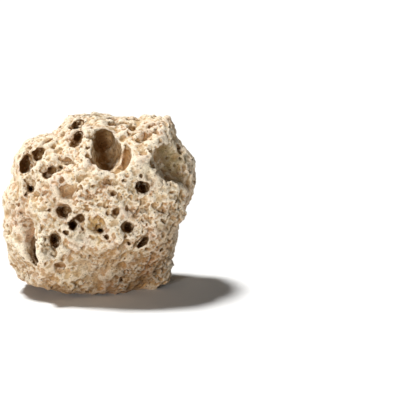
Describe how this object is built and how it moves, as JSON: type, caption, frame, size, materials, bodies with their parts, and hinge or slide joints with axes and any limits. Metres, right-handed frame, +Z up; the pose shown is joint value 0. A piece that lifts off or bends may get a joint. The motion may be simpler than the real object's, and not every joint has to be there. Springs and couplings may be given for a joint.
{
  "type": "tufa rock",
  "caption": "Pitted boulder of porous cream-coloured tufa with hollows and holes on every side, standing on one small flat.",
  "frame": {"origin": "under the middle of the boulder, level with the flat that it stands on", "axes": "+Z up, -Y towards the face with the deep pocket and most of the round holes, +X to the right of that face"},
  "size_m": [0.1982, 0.156, 0.1799],
  "materials": {
    "tufa": "rough, porous cream limestone with tan, pink and grey-green stains"
  },
  "bodies": {
    "root": {"tufa_rock": "tufa"}
  },
  "joints": []
}
